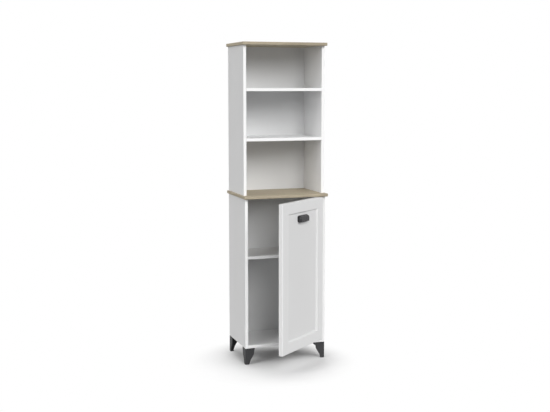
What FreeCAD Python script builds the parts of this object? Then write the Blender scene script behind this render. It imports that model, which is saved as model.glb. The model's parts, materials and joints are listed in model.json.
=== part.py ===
import FreeCAD, Part
import math
import os

# Tall bathroom cabinet: a lower cupboard with one framed door, and an open
# three-bay shelf unit on top of it, between two oak boards, on four corner legs.
# Millimetres.  While the pieces are made, X runs to the right from the outer
# left side, Y runs to the back from the lower front, and Z runs up from the floor.

Vector = FreeCAD.Vector

# ------------------------------------------------------------------ dimensions
# Boards
BOARD = 16.0                    # thickness of every laminated board
BACK = 3.0                      # thickness of the hardboard backs
WIDTH = 450.0                   # outer width over the side boards
DEPTH = 300.0                   # depth of the lower side boards
LEG_HEIGHT = 88.0
LOWER_HEIGHT = 800.0            # length of the lower side boards
UPPER_HEIGHT = 780.0            # length of the upper side boards
UPPER_SETBACK = 20.0            # upper front edges stand behind the lower ones
SIDE_OVERHANG = 8.0             # oak boards past the sides and past the back
MIDDLE_OVERHANG = 22.0          # middle oak board past the lower front
TOP_OVERHANG = 20.0             # top oak board past the upper front
EDGE_BREAK = 0.8                # bevel on the edge banding
OAK_BREAK = 1.5                 # bevel on the oak boards

# Shelves, by the height of their undersides
OPEN_SHELF_HEIGHTS = {"open_shelf_lower": 1187.0, "open_shelf_upper": 1447.0}
CUPBOARD_SHELF_HEIGHT = 562.0
CUPBOARD_SHELF_SETBACK = 30.0
CUPBOARD_SHELF_PLAY = 0.5       # gap at each end, so that the shelf lifts out
PIN_RADIUS = 2.5
PIN_IN_BOARD = 10.0
PIN_OUT = 8.0
PIN_FROM_EDGE = 37.0            # pin centres from the front and the back of the shelf

# Grooves for the backs
BACK_INSET = 12.0               # from the back edge of a side to the back
GROOVE_DEPTH = 6.0
GROOVE_PLAY = 0.2

# Door, drawn closed and then turned to the angle at which it stands
DOOR_PANEL = 16.0
DOOR_FRAME = 8.0                # thickness of the planted frame
FRAME_WIDTH = 56.0
FRAME_BEVEL = 8.0               # slope from the frame's face down to the panel
FRAME_BREAK = 1.5
DOOR_GAP = 2.0                  # above, below and at the free edge
HINGE_GAP = 3.0                 # at the hinged edge
PIVOT_PAST_SIDE = 8.0           # effective hinge axis, outwards from the inner face
PIVOT_BEHIND_FRONT = 6.5
DOOR_ANGLE = 39.0               # how far the door stands open

# Concealed hinges
HINGE_FROM_END = 100.0          # from the door's top and bottom edges
CUP_RADIUS = 17.5
CUP_DEPTH = 11.5
CUP_WALL = 1.2
CUP_EDGE = 5.0                  # wood left between the cup and the door's edge
CUP_FLANGE = 1.2
CUP_FLANGE_LENGTH = 60.0
CUP_FLANGE_WIDTH = 36.0
CUP_CORNER = 6.0
CUP_SCREW_SPACING = 48.0
LUG_SPACING = 10.0              # two lugs that stand in each cup
LUG_THICKNESS = 2.0
LUG_LENGTH = 12.0
LUG_FROM_CENTRE = -3.0          # where the lugs start, measured from the cup's centre
PLATE_SPACING = 32.0            # screws of a mounting plate
PLATE_LENGTH = 50.0
PLATE_WIDTH = 22.0
PLATE_CORNER = 7.0
PLATE_THICKNESS = 2.5
PLATE_SETBACK = 37.0            # from the door's back face to the plate's screws
RAIL_WIDTH = 12.0
RAIL_HEIGHT = 10.0
RAIL_LENGTH = 40.0
ARM_WALL = 1.4
ARM_WIDTH = 16.0
ARM_ON_RAIL = 0.3               # play between the arm and the rail
ARM_OFF_PLATE = 2.0             # gap between the arm's edges and the plate
ARM_PAST_RAIL = 4.0
ARM_BEHIND_CUP = 1.8            # from the cup's flange to the arm's nose
ARM_CRANK = 12.0                # sideways step of the arm
ARM_CRANK_START = 8.0           # where the step starts and ends, behind the nose
ARM_CRANK_END = 18.0
ARM_NOSE = 3.0                  # how far the nose reaches back over the arm
ARM_SLOPE = 14.0                # where the arm reaches its full depth, behind the nose

# Cup pull
PULL_WIDTH = 100.0
PULL_HEIGHT = 33.0
PULL_FLANGE = 2.0
PULL_CORNER = 9.0
PULL_SHELL = 2.2
PULL_HOOD = 48.0                # half of the hood's width
PULL_ROUNDING = 14.0            # rounding of the hood's corners and brow
PULL_REACH = 20.0               # how far the hood stands off the panel
PULL_RISE = 31.5                # height of the hood
PULL_BELOW_TOP = 75.3           # from the door's top edge to the pull's top
PULL_SCREW_SPACING = 64.0
PULL_SCREW_RISE = 17.0
PULL_BOSS_RADIUS = 4.2
PULL_BOSS = 6.0
PULL_BOSS_END = 2.0             # left solid in front of a screw's tip

# Corner legs: two tapered wings at a right angle
LEG_WING = 4.0
LEG_PLATE = 4.0
LEG_TOP = 52.5                  # width of a wing under the cabinet
LEG_KNEE = (48.0, 55.0)         # width and height at the outer bend
LEG_ANKLE = (29.0, 24.0)        # width and height at the inner bend
LEG_SOLE = 21.0                 # width of a wing on the floor
LEG_BEND = 25.0                 # radius of both bends
LEG_TOE = 2.0                   # rounding of the toe
LEG_PLATE_CORNER = 8.0
LEG_SOLE_THICKNESS = 5.0
LEG_COLLAR = 3.0                # wall that closes the leg's top to a square
LEG_COLLAR_DROP = 19.0
LEG_SCREWS = ((8.0, 36.0), (36.0, 10.0), (34.0, 34.0))

# Knock-down fittings
CAM_RADIUS = 7.5
CAM_DEPTH = 12.0
CAM_FROM_END = 34.0             # from the end of a board to the cam's centre
CAM_FROM_EDGE = 50.0            # from a shelf's long edges to its cams
SIDE_CAM_ROWS = {"below middle": (70.0, 230.0), "above middle": (90.0, 250.0),
                 "top": (70.0, 230.0)}
BOLT_RADIUS = 3.0
BOLT_IN_BOARD = 10.0
SCREW_RADIUS = 1.8
SCREW_HEAD_RADIUS = 3.6
SCREW_HEAD = 2.0
SCREW_IN_BOARD = 12.0
FASTENER_FLATS = 8              # fasteners are many, so each is a prism and not round
CAM_FLATS = 12
CUP_FLATS = 36                  # inside of a hinge's cup
COVER_RADIUS = 8.5              # caps that hide the cams in the sides
COVER_THICKNESS = 0.8

# Working values
TOUCH = 0.01                    # values nearer than this are the same
PAST = 1.0                      # how far a cutting shape starts before the face it cuts
LONG_EDGE = 100.0               # edges longer than this run along a board

# ------------------------------------------------------------- derived heights
LOWER_BASE = LEG_HEIGHT
LOWER_TOP = LOWER_BASE + LOWER_HEIGHT
UPPER_BASE = LOWER_TOP + BOARD
UPPER_TOP = UPPER_BASE + UPPER_HEIGHT
INNER_LEFT = BOARD
INNER_RIGHT = WIDTH - BOARD
BACK_FRONT = DEPTH - BACK_INSET - BACK      # front face of the hardboard backs
DOOR_LEFT = INNER_LEFT + DOOR_GAP
DOOR_RIGHT = INNER_RIGHT - HINGE_GAP
DOOR_BOTTOM = LOWER_BASE + BOARD + DOOR_GAP
DOOR_TOP = LOWER_TOP - DOOR_GAP
DOOR_BACK = DOOR_FRAME + DOOR_PANEL
PIVOT = Vector(INNER_RIGHT + PIVOT_PAST_SIDE, PIVOT_BEHIND_FRONT, 0)
HINGE_HEIGHTS = {"lower": DOOR_BOTTOM + HINGE_FROM_END,
                 "upper": DOOR_TOP - HINGE_FROM_END}
UP = Vector(0, 0, 1)
RIGHT = Vector(1, 0, 0)
BACKWARD = Vector(0, 1, 0)

pieces = {}
door_nodes = []


# --------------------------------------------------------------------- helpers
def block(low, high):
    """A box between two opposite corners."""
    low, high = Vector(*low), Vector(*high)
    size = high - low
    return Part.makeBox(size.x, size.y, size.z, low)


def rod(radius, length, base, direction):
    return Part.makeCylinder(radius, length, Vector(*base), direction)


def peg(radius, length, base, direction, flats=FASTENER_FLATS):
    """A prism that stands for a round fastener, or for the hole that takes it."""
    start = Vector(*base)
    across = Vector(direction.y, direction.z, direction.x)
    turn = 360.0 / flats
    corners = [start + FreeCAD.Rotation(direction, turn * index).multVec(across) * radius
               for index in range(flats)]
    return prism(Part.makePolygon(corners + corners[:1]), direction * length)


def cut_all(shape, tools):
    return shape.cut(list(tools)) if tools else shape


def fuse_all(shapes):
    first, *others = shapes
    return first.fuse(others).removeSplitter()


def group(solids):
    return Part.Compound(solids)


def rounded_outline(corners):
    """A closed flat wire through (point, radius) corners, each turned by an arc."""
    count = len(corners)
    edges = []
    ends = []
    for index, (point, radius) in enumerate(corners):
        before = (corners[index - 1][0] - point).normalize()
        after = (corners[(index + 1) % count][0] - point).normalize()
        if radius == 0:
            ends.append((point, point))
            continue
        half_turn = before.getAngle(after) / 2
        reach = radius / math.tan(half_turn)
        start, finish = point + before * reach, point + after * reach
        middle_line = (before + after).normalize()
        middle = point + middle_line * (radius / math.sin(half_turn) - radius)
        ends.append((start, finish))
        edges.append(Part.Arc(start, middle, finish).toShape())
    for index in range(count):
        leave, arrive = ends[index][1], ends[(index + 1) % count][0]
        if leave.distanceToPoint(arrive) > TOUCH:
            edges.append(Part.LineSegment(leave, arrive).toShape())
    return Part.Wire(Part.__sortEdges__(edges))


def prism(wire, sweep):
    return Part.Face(wire).extrude(sweep)


def bevel_where(shape, size, wanted):
    """Bevel the straight edges for which wanted(low, high) is true."""
    chosen = []
    for edge in shape.Edges:
        box = edge.BoundBox
        low = Vector(box.XMin, box.YMin, box.ZMin)
        high = Vector(box.XMax, box.YMax, box.ZMax)
        if wanted(low, high):
            chosen.append(edge)
    return shape.makeChamfer(size, chosen)


def near(value, target):
    return abs(value - target) < TOUCH


# ------------------------------------------------------- knock-down fittings
# Two boards are held together by bolts out of one and cams in the other, which
# turn to pull the bolts tight.  Caps hide the cams of the sides, where they would
# show.  These lists collect the fittings, and the holes of every board.
bores = {}
cams = []
bolts = []
covers = []


def bore(board, radius, length, base, direction, flats=FASTENER_FLATS):
    bores.setdefault(board, []).append(peg(radius, length, base, direction, flats))


def cam_and_bolt(cam_board, bolt_board, seam, toward_cam, cam_mouth):
    """A cam in one board and its bolt out of the other.

    seam is the point where the bolt crosses between the boards, toward_cam the
    bolt's direction, and cam_mouth the outward normal of the face that shows
    the cam, half a board away from the bolt.
    """
    seam = Vector(*seam)
    mouth = seam + toward_cam * CAM_FROM_END + cam_mouth * (BOARD / 2)
    start = seam - toward_cam * BOLT_IN_BOARD
    bolt_length = BOLT_IN_BOARD + CAM_FROM_END - CAM_RADIUS
    bore(bolt_board, BOLT_RADIUS, BOLT_IN_BOARD, start, toward_cam)
    bore(cam_board, BOLT_RADIUS, CAM_FROM_END, seam, toward_cam)
    bore(cam_board, CAM_RADIUS, CAM_DEPTH, mouth, -cam_mouth, CAM_FLATS)
    bolts.append(peg(BOLT_RADIUS, bolt_length, start, toward_cam))
    cams.append(peg(CAM_RADIUS, CAM_DEPTH, mouth, -cam_mouth, CAM_FLATS))
    return mouth


def join_shelf(shelf, left, right, height, front, back):
    """Two cams at each end of a fixed board between two sides."""
    middle = height + BOARD / 2
    for side, x, outward in ((left, INNER_LEFT, -RIGHT), (right, INNER_RIGHT, RIGHT)):
        for y in (front + CAM_FROM_EDGE, back - CAM_FROM_EDGE):
            cam_and_bolt(shelf, side, (x, y, middle), -outward, -UP)


def join_side(side, board, x, inward, seam, toward_board, rows):
    """Capped cams between the end of a side and the oak board on it."""
    for y in rows:
        mouth = cam_and_bolt(side, board, (x, y, seam), -toward_board, inward)
        covers.append(peg(COVER_RADIUS, COVER_THICKNESS, mouth, inward))


def screw(seat, length, direction):
    """A screw whose head stands on the seat and whose shank runs along direction."""
    seat = Vector(*seat)
    head = peg(SCREW_HEAD_RADIUS, SCREW_HEAD, seat - direction * SCREW_HEAD, direction)
    return head.fuse([peg(SCREW_RADIUS, length, seat, direction)])


# ---------------------------------------------------------------------- boards
def side_board(x, front, base, top):
    """An upright side, with its front edge broken and a groove for the back."""
    board = block((x, front, base), (x + BOARD, DEPTH, top))
    board = bevel_where(board, EDGE_BREAK,
                        lambda low, high: near(high.y, front) and high.z - low.z > LONG_EDGE)
    groove_x = x + BOARD - GROOVE_DEPTH if x == 0 else x
    groove = block((groove_x, BACK_FRONT - GROOVE_PLAY, base),
                   (groove_x + GROOVE_DEPTH, BACK_FRONT + BACK + GROOVE_PLAY, top))
    return board.cut(groove)


def inner_board(height, front, play=0.0):
    """A board between the sides, from its front edge to the back."""
    board = block((INNER_LEFT + play, front, height),
                  (INNER_RIGHT - play, BACK_FRONT - GROOVE_PLAY, height + BOARD))
    return bevel_where(board, EDGE_BREAK,
                       lambda low, high: near(high.y, front) and high.x - low.x > LONG_EDGE)


def back_board(base, top):
    reach = GROOVE_DEPTH - GROOVE_PLAY
    return block((INNER_LEFT - reach, BACK_FRONT, base), (INNER_RIGHT + reach, BACK_FRONT + BACK, top))


def oak_board(front, base):
    """A wide oak board, with all its long edges broken."""
    board = block((-SIDE_OVERHANG, front, base),
                  (WIDTH + SIDE_OVERHANG, DEPTH + SIDE_OVERHANG, base + BOARD))
    return bevel_where(board, OAK_BREAK, lambda low, high: True)


def make_boards():
    pieces["lower_side_left"] = side_board(0, 0, LOWER_BASE, LOWER_TOP)
    pieces["lower_side_right"] = side_board(INNER_RIGHT, 0, LOWER_BASE, LOWER_TOP)
    pieces["upper_side_left"] = side_board(0, UPPER_SETBACK, UPPER_BASE, UPPER_TOP)
    pieces["upper_side_right"] = side_board(INNER_RIGHT, UPPER_SETBACK, UPPER_BASE, UPPER_TOP)
    pieces["bottom_panel"] = inner_board(LOWER_BASE, 0)
    pieces["cupboard_shelf"] = inner_board(CUPBOARD_SHELF_HEIGHT, CUPBOARD_SHELF_SETBACK,
                                           CUPBOARD_SHELF_PLAY)
    for name, height in OPEN_SHELF_HEIGHTS.items():
        pieces[name] = inner_board(height, UPPER_SETBACK)
    pieces["middle_board"] = oak_board(-MIDDLE_OVERHANG, LOWER_TOP)
    pieces["top_board"] = oak_board(UPPER_SETBACK - TOP_OVERHANG, UPPER_TOP)
    pieces["lower_back"] = back_board(LOWER_BASE, LOWER_TOP)
    pieces["upper_back"] = back_board(UPPER_BASE, UPPER_TOP)


def join_boards():
    join_shelf("bottom_panel", "lower_side_left", "lower_side_right",
               LOWER_BASE, 0, BACK_FRONT)
    for name, height in OPEN_SHELF_HEIGHTS.items():
        join_shelf(name, "upper_side_left", "upper_side_right",
                   height, UPPER_SETBACK, BACK_FRONT)
    for hand, x, inward in (("left", BOARD / 2, RIGHT), ("right", WIDTH - BOARD / 2, -RIGHT)):
        lower, upper = "lower_side_" + hand, "upper_side_" + hand
        join_side(lower, "middle_board", x, inward, LOWER_TOP, UP, SIDE_CAM_ROWS["below middle"])
        join_side(upper, "middle_board", x, inward, UPPER_BASE, -UP, SIDE_CAM_ROWS["above middle"])
        join_side(upper, "top_board", x, inward, UPPER_TOP, UP, SIDE_CAM_ROWS["top"])


def make_shelf_pins():
    """Four pegs under the loose shelf, half in the sides."""
    pins = []
    rows = (CUPBOARD_SHELF_SETBACK + PIN_FROM_EDGE, BACK_FRONT - PIN_FROM_EDGE)
    height = CUPBOARD_SHELF_HEIGHT - PIN_RADIUS
    for side, face, outward in (("lower_side_left", INNER_LEFT, -1),
                                ("lower_side_right", INNER_RIGHT, 1)):
        for y in rows:
            start = (face + outward * PIN_IN_BOARD, y, height)
            bore(side, PIN_RADIUS, PIN_IN_BOARD, start, RIGHT * -outward)
            pins.append(peg(PIN_RADIUS, PIN_IN_BOARD + PIN_OUT, start, RIGHT * -outward))
    pieces["shelf_pins"] = group(pins)


# ------------------------------------------------------------------------ legs
def leg_form():
    """One leg, with its outer corner at the origin and its wings along +X and +Y."""
    knee, ankle = Vector(LEG_KNEE[0], 0, LEG_KNEE[1]), Vector(LEG_ANKLE[0], 0, LEG_ANKLE[1])
    wing = prism(rounded_outline([
        (Vector(0, 0, 0), 0),
        (Vector(LEG_SOLE, 0, 0), LEG_TOE),
        (ankle, LEG_BEND),
        (knee, LEG_BEND),
        (Vector(LEG_TOP, 0, LEG_HEIGHT), 0),
        (Vector(0, 0, LEG_HEIGHT), 0)]), BACKWARD * LEG_WING)
    other_wing = wing.mirror(Vector(0, 0, 0), Vector(1, -1, 0))
    plate = prism(rounded_outline([
        (Vector(0, 0, LEG_HEIGHT - LEG_PLATE), 0),
        (Vector(LEG_TOP, 0, LEG_HEIGHT - LEG_PLATE), 0),
        (Vector(LEG_TOP, LEG_TOP, LEG_HEIGHT - LEG_PLATE), LEG_PLATE_CORNER),
        (Vector(0, LEG_TOP, LEG_HEIGHT - LEG_PLATE), 0)]), UP * LEG_PLATE)
    inner_sole = LEG_SOLE - LEG_TOE
    sole = block((0, 0, 0), (inner_sole, inner_sole, LEG_SOLE_THICKNESS))
    reach = LEG_KNEE[0]
    low, high = LEG_HEIGHT - LEG_COLLAR_DROP, LEG_HEIGHT - LEG_PLATE
    collar = block((reach - LEG_COLLAR, 0, low), (reach, reach, high))
    other_collar = block((0, reach - LEG_COLLAR, low), (reach, reach, high))
    return fuse_all([wing, other_wing, plate, sole, collar, other_collar])


def make_legs():
    screws = []
    form = leg_form()
    corners = {"leg_front_left": (0, 0), "leg_front_right": (WIDTH, 0),
               "leg_back_left": (0, DEPTH), "leg_back_right": (WIDTH, DEPTH)}
    for name, (x, y) in corners.items():
        hand_x, hand_y = (1 if x == 0 else -1), (1 if y == 0 else -1)
        leg = form.copy()
        if hand_x < 0:
            leg = leg.mirror(Vector(0, 0, 0), RIGHT)
        if hand_y < 0:
            leg = leg.mirror(Vector(0, 0, 0), BACKWARD)
        leg.translate(Vector(x, y, 0))
        holes = []
        for across, along in LEG_SCREWS:
            centre = (x + hand_x * across, y + hand_y * along)
            under = LEG_HEIGHT - LEG_PLATE
            holes.append(peg(SCREW_RADIUS, LEG_PLATE, (*centre, under), UP))
            over = centre[0] - BOARD < 0 or centre[0] > INNER_RIGHT
            side = "lower_side_left" if x == 0 else "lower_side_right"
            bore(side if over else "bottom_panel", SCREW_RADIUS, SCREW_IN_BOARD,
                 (*centre, LEG_HEIGHT), UP)
            screws.append(screw((*centre, under), LEG_PLATE + SCREW_IN_BOARD, UP))
        pieces[name] = cut_all(leg, holes)
    pieces["leg_screws"] = group(screws)


# ------------------------------------------------------------------------ door
def make_door_frame():
    """A ring with a sloped inner edge, cut at its mitres into four strips."""
    ring = block((DOOR_LEFT, 0, DOOR_BOTTOM), (DOOR_RIGHT, DOOR_FRAME, DOOR_TOP))
    ring = bevel_where(ring, FRAME_BREAK, lambda low, high: near(high.y, 0))
    recess = []
    for y, inset in ((0, FRAME_WIDTH), (DOOR_FRAME, FRAME_WIDTH + FRAME_BEVEL)):
        recess.append(Part.makePolygon([
            Vector(DOOR_LEFT + inset, y, DOOR_BOTTOM + inset),
            Vector(DOOR_RIGHT - inset, y, DOOR_BOTTOM + inset),
            Vector(DOOR_RIGHT - inset, y, DOOR_TOP - inset),
            Vector(DOOR_LEFT + inset, y, DOOR_TOP - inset),
            Vector(DOOR_LEFT + inset, y, DOOR_BOTTOM + inset)]))
    ring = ring.cut(Part.makeLoft(recess, True, True))
    reach = (DOOR_RIGHT - DOOR_LEFT) / 2
    left, right = (DOOR_LEFT, DOOR_BOTTOM), (DOOR_RIGHT, DOOR_BOTTOM)
    low, high = DOOR_BOTTOM, DOOR_TOP
    outlines = {
        "door_rail_bottom": (left, right, (DOOR_RIGHT - reach, low + reach)),
        "door_rail_top": ((DOOR_LEFT, high), (DOOR_RIGHT, high), (DOOR_RIGHT - reach, high - reach)),
        "door_stile_free": ((DOOR_LEFT, low), (DOOR_LEFT + reach, low + reach),
                            (DOOR_LEFT + reach, high - reach), (DOOR_LEFT, high)),
        "door_stile_hinge": ((DOOR_RIGHT, low), (DOOR_RIGHT - reach, low + reach),
                             (DOOR_RIGHT - reach, high - reach), (DOOR_RIGHT, high))}
    for name, corners in outlines.items():
        points = [Vector(x, -PAST, z) for x, z in corners]
        wedge = prism(Part.makePolygon(points + points[:1]), BACKWARD * (DOOR_FRAME + 2 * PAST))
        pieces[name] = ring.common(wedge)
        door_nodes.append(name)


def hood_form(half, reach, rise):
    """A solid block with its back at y = 0, and the edges of its front corners and brow."""
    body = block((-half, -reach, 0), (half, 0, rise))
    edges = []
    for edge in body.Edges:
        box = edge.BoundBox
        if box.YMin < -TOUCH and box.ZMax > TOUCH:
            edges.append(edge)
    return body, edges


def make_pull():
    """A hooded cup pull on a flat rounded plate, screwed on from behind."""
    body, edges = hood_form(PULL_HOOD, PULL_REACH, PULL_RISE)
    hood = body.makeFillet(PULL_ROUNDING, edges)
    body, edges = hood_form(PULL_HOOD - PULL_SHELL, PULL_REACH - PULL_SHELL,
                            PULL_RISE - PULL_SHELL)
    hollow = body.makeChamfer(PULL_ROUNDING - PULL_SHELL, edges)
    half = PULL_WIDTH / 2
    plate = prism(rounded_outline([
        (Vector(-half, 0, 0), PULL_CORNER), (Vector(half, 0, 0), PULL_CORNER),
        (Vector(half, 0, PULL_HEIGHT), PULL_CORNER), (Vector(-half, 0, PULL_HEIGHT), PULL_CORNER)]),
        -BACKWARD * PULL_FLANGE)
    bosses = []
    holes = []
    screws = []
    screw_reach = PULL_FLANGE + PULL_BOSS - PULL_BOSS_END
    for x in (-PULL_SCREW_SPACING / 2, PULL_SCREW_SPACING / 2):
        foot = (x, 0, PULL_SCREW_RISE)
        bosses.append(rod(PULL_BOSS_RADIUS, PULL_FLANGE + PULL_BOSS, foot, -BACKWARD))
        holes.append(peg(SCREW_RADIUS, screw_reach, foot, -BACKWARD))
    pull = cut_all(fuse_all([hood.cut(hollow), plate] + bosses), holes)
    base = Vector((DOOR_LEFT + DOOR_RIGHT) / 2, DOOR_FRAME, DOOR_TOP - PULL_BELOW_TOP - PULL_HEIGHT)
    pull.translate(base)
    for x in (-PULL_SCREW_SPACING / 2, PULL_SCREW_SPACING / 2):
        tip = base + Vector(x, -screw_reach, PULL_SCREW_RISE)
        length = DOOR_BACK - tip.y
        seat = tip + BACKWARD * length
        bore("door_panel", SCREW_RADIUS, DOOR_PANEL, seat, -BACKWARD)
        screws.append(screw(seat, length, -BACKWARD))
    pieces["cup_pull"] = pull
    pieces["pull_screws"] = group(screws)
    door_nodes.extend(["cup_pull", "pull_screws"])


def hinge_cup(centre):
    """A pressed steel cup with its long flange, let into the door's back."""
    x, z = centre
    half_length, half_width = CUP_FLANGE_LENGTH / 2, CUP_FLANGE_WIDTH / 2
    flange = prism(rounded_outline([
        (Vector(x - half_width, DOOR_BACK, z - half_length), CUP_CORNER),
        (Vector(x + half_width, DOOR_BACK, z - half_length), CUP_CORNER),
        (Vector(x + half_width, DOOR_BACK, z + half_length), CUP_CORNER),
        (Vector(x - half_width, DOOR_BACK, z + half_length), CUP_CORNER)]), BACKWARD * CUP_FLANGE)
    bowl = rod(CUP_RADIUS, CUP_DEPTH, (x, DOOR_BACK, z), -BACKWARD)
    inside = peg(CUP_RADIUS - CUP_WALL, CUP_DEPTH - CUP_WALL + CUP_FLANGE,
                 (x, DOOR_BACK + CUP_FLANGE, z), -BACKWARD, CUP_FLATS)
    floor_y = DOOR_BACK - CUP_DEPTH + CUP_WALL
    lug_x = x + LUG_FROM_CENTRE
    lugs = []
    for middle in (z - LUG_SPACING / 2, z + LUG_SPACING / 2):
        lugs.append(block((lug_x, floor_y, middle - LUG_THICKNESS / 2),
                          (lug_x + LUG_LENGTH, DOOR_BACK + CUP_FLANGE, middle + LUG_THICKNESS / 2)))
    return fuse_all([fuse_all([flange, bowl]).cut(inside)] + lugs)


def hinge_arm(z):
    """A cranked channel that runs forward from the plate to the cup's mouth."""
    edge = INNER_RIGHT - PLATE_THICKNESS - ARM_OFF_PLATE
    crown = INNER_RIGHT - PLATE_THICKNESS - RAIL_HEIGHT - ARM_ON_RAIL - ARM_WALL
    nose = DOOR_BACK + CUP_FLANGE + ARM_BEHIND_CUP
    rear = DOOR_BACK + PLATE_SETBACK + RAIL_LENGTH / 2 + ARM_PAST_RAIL

    def channel(inset, half_height):
        base = z - half_height
        corners = [Vector(edge + inset, rear + inset, base),
                   Vector(crown + inset, rear + inset, base),
                   Vector(crown + inset, nose + ARM_CRANK_END, base),
                   Vector(crown - ARM_CRANK + inset, nose + ARM_CRANK_START, base),
                   Vector(crown - ARM_CRANK + inset, nose + inset, base),
                   Vector(crown + ARM_NOSE + inset, nose + inset, base),
                   Vector(edge + inset, nose + ARM_SLOPE, base)]
        return prism(Part.makePolygon(corners + corners[:1]), UP * (2 * half_height))

    return channel(0, ARM_WIDTH / 2).cut(channel(ARM_WALL, ARM_WIDTH / 2 - ARM_WALL))


def hinge_plate(z):
    """A winged plate with a raised rail that carries the arm."""
    y = DOOR_BACK + PLATE_SETBACK
    x = INNER_RIGHT - PLATE_THICKNESS
    half_length, half_width = PLATE_LENGTH / 2, PLATE_WIDTH / 2
    wings = prism(rounded_outline([
        (Vector(x, y - half_width, z - half_length), PLATE_CORNER),
        (Vector(x, y + half_width, z - half_length), PLATE_CORNER),
        (Vector(x, y + half_width, z + half_length), PLATE_CORNER),
        (Vector(x, y - half_width, z + half_length), PLATE_CORNER)]),
        RIGHT * PLATE_THICKNESS)
    rail = block((x - RAIL_HEIGHT, y - RAIL_LENGTH / 2, z - RAIL_WIDTH / 2),
                 (x, y + RAIL_LENGTH / 2, z + RAIL_WIDTH / 2))
    return fuse_all([wings, rail])


def make_hinges():
    cup_x = DOOR_RIGHT - CUP_EDGE - CUP_RADIUS
    plate_y = DOOR_BACK + PLATE_SETBACK
    door_screws, side_screws = [], []
    for level, z in HINGE_HEIGHTS.items():
        cup, plate = hinge_cup((cup_x, z)), hinge_plate(z)
        bores.setdefault("door_panel", []).append(
            rod(CUP_RADIUS, CUP_DEPTH, (cup_x, DOOR_BACK, z), -BACKWARD))
        cup_holes, plate_holes = [], []
        for side in (-1, 1):
            seat = Vector(cup_x, DOOR_BACK, z + side * CUP_SCREW_SPACING / 2)
            cup_holes.append(peg(SCREW_RADIUS, CUP_FLANGE, seat, BACKWARD))
            bore("door_panel", SCREW_RADIUS, SCREW_IN_BOARD, seat, -BACKWARD)
            door_screws.append(screw(seat + BACKWARD * CUP_FLANGE, SCREW_IN_BOARD + CUP_FLANGE,
                                     -BACKWARD))
            seat = Vector(INNER_RIGHT, plate_y, z + side * PLATE_SPACING / 2)
            plate_holes.append(peg(SCREW_RADIUS, PLATE_THICKNESS, seat, -RIGHT))
            bore("lower_side_right", SCREW_RADIUS, SCREW_IN_BOARD, seat, RIGHT)
            side_screws.append(screw(seat - RIGHT * PLATE_THICKNESS,
                                     SCREW_IN_BOARD + PLATE_THICKNESS, RIGHT))
        pieces["hinge_cup_" + level] = cut_all(cup, cup_holes)
        pieces["hinge_plate_" + level] = cut_all(plate, plate_holes)
        pieces["hinge_arm_" + level] = hinge_arm(z)
        door_nodes.append("hinge_cup_" + level)
    pieces["cup_screws"] = group(door_screws)
    pieces["plate_screws"] = group(side_screws)
    door_nodes.append("cup_screws")


def make_door():
    pieces["door_panel"] = block((DOOR_LEFT, DOOR_FRAME, DOOR_BOTTOM),
                                 (DOOR_RIGHT, DOOR_BACK, DOOR_TOP))
    door_nodes.append("door_panel")
    make_door_frame()
    make_pull()
    make_hinges()


# -------------------------------------------------------------------- assembly
make_boards()
join_boards()
make_shelf_pins()
make_legs()
make_door()
pieces["cam_locks"] = group(cams)
pieces["cam_bolts"] = group(bolts)
pieces["cam_covers"] = group(covers)
for name, tools in bores.items():
    pieces[name] = cut_all(pieces[name], tools)
for name in door_nodes:
    pieces[name].rotate(PIVOT, UP, DOOR_ANGLE)

# The origin lies on the floor, below the middle of the whole cabinet's box as
# it stands with its door ajar.
bounds = group(list(pieces.values())).BoundBox
origin = Vector((bounds.XMin + bounds.XMax) / 2, (bounds.YMin + bounds.YMax) / 2, 0)
os.makedirs("parts", exist_ok=True)
for name, shape in pieces.items():
    shape.translate(origin * -1)
    shape.exportStep("parts/" + name + ".step")
    print(name, len(shape.Solids), shape.isValid(), round(shape.Volume / 1000, 1))
pivot = PIVOT - origin
print("origin", origin, "pivot", pivot, "pieces", len(pieces))
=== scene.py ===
"""Finishes, fittings and studio for the tall bathroom cabinet, built round its CAD frame."""

import json
import math

import bmesh
import bpy
from mathutils import Matrix, Vector

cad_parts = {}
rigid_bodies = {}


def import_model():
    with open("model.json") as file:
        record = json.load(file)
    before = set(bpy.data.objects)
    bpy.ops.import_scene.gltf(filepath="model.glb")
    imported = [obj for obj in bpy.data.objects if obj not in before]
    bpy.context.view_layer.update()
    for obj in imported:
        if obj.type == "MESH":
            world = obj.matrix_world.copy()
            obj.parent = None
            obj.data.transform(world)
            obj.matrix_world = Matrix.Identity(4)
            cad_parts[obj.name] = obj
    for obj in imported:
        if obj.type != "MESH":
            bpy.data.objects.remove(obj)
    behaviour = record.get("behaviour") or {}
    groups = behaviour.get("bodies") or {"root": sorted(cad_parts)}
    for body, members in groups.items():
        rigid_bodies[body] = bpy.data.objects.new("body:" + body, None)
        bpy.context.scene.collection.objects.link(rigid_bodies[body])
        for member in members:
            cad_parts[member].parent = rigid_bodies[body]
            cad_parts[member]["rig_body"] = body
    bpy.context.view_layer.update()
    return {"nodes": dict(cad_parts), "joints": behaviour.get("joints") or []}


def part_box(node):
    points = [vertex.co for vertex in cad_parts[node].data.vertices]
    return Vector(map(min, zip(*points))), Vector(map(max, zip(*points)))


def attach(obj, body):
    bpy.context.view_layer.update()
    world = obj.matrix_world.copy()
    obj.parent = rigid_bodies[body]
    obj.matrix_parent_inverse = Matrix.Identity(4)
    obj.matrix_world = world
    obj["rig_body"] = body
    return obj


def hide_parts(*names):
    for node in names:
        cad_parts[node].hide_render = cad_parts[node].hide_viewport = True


bl_info = {
    "name": "Tall Bathroom Cabinet",
    "version": (1, 0, 0),
    "blender": (4, 5, 0),
    "location": "View3D > Sidebar > Cabinet",
    "description": "Dresses the cabinet's CAD frame with boards, door, legs, fittings and a studio",
    "category": "Add Mesh",
}

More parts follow.
